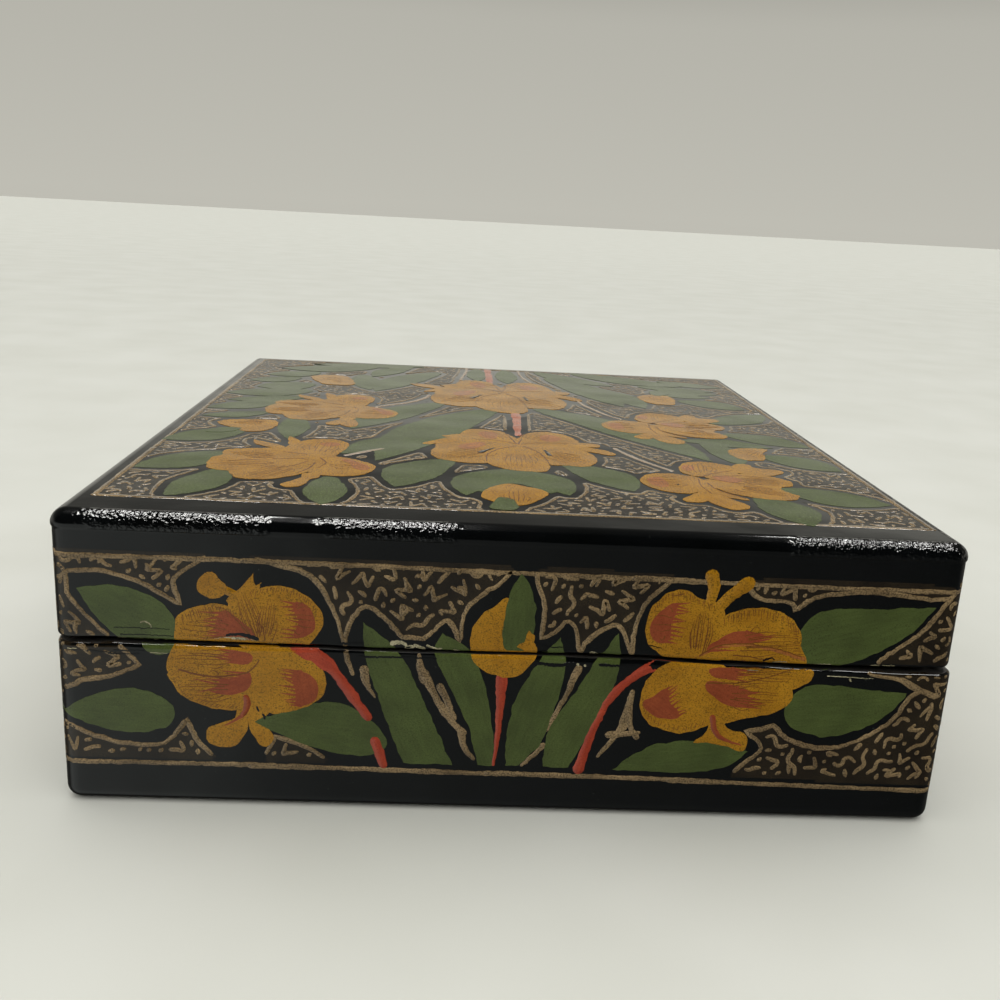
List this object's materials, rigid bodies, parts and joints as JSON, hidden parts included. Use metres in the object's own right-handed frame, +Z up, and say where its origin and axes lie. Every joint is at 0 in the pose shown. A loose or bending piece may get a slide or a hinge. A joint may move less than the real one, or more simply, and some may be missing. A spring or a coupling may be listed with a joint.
{
  "type": "lidded box",
  "caption": "Low rectangular papier mache box with a lift-off lid that sits on an inner lip, black lacquer with painted irises.",
  "frame": {"origin": "middle of the tray's underside, on the surface that the box stands on", "axes": "+X to the right of the shown side, +Y from the shown side to the far side, +Z up out of the lid"},
  "size_m": [0.1523, 0.178, 0.052],
  "materials": {
    "painted_lacquer": "painted pasteboard under clear gloss lacquer, black ground with painted flowers and gold lines",
    "inner_lacquer": "brushed plain black lacquer on pasteboard, satin"
  },
  "bodies": {
    "tray": {"base_floor_panel": "painted_lacquer", "base_front_wall": "painted_lacquer", "base_back_wall": "painted_lacquer", "base_left_wall": "painted_lacquer", "base_right_wall": "painted_lacquer", "lip_front_strip": "inner_lacquer", "lip_back_strip": "inner_lacquer", "lip_left_strip": "inner_lacquer", "lip_right_strip": "inner_lacquer"},
    "lid": {"lid_top_panel": "painted_lacquer", "lid_front_wall": "painted_lacquer", "lid_back_wall": "painted_lacquer", "lid_left_wall": "painted_lacquer", "lid_right_wall": "painted_lacquer"}
  },
  "joints": [
    {"name": "lid_lift", "type": "slide", "parent": "tray", "child": "lid", "axis": [0, 0, 1], "range_m": [0, 0.06]}
  ]
}
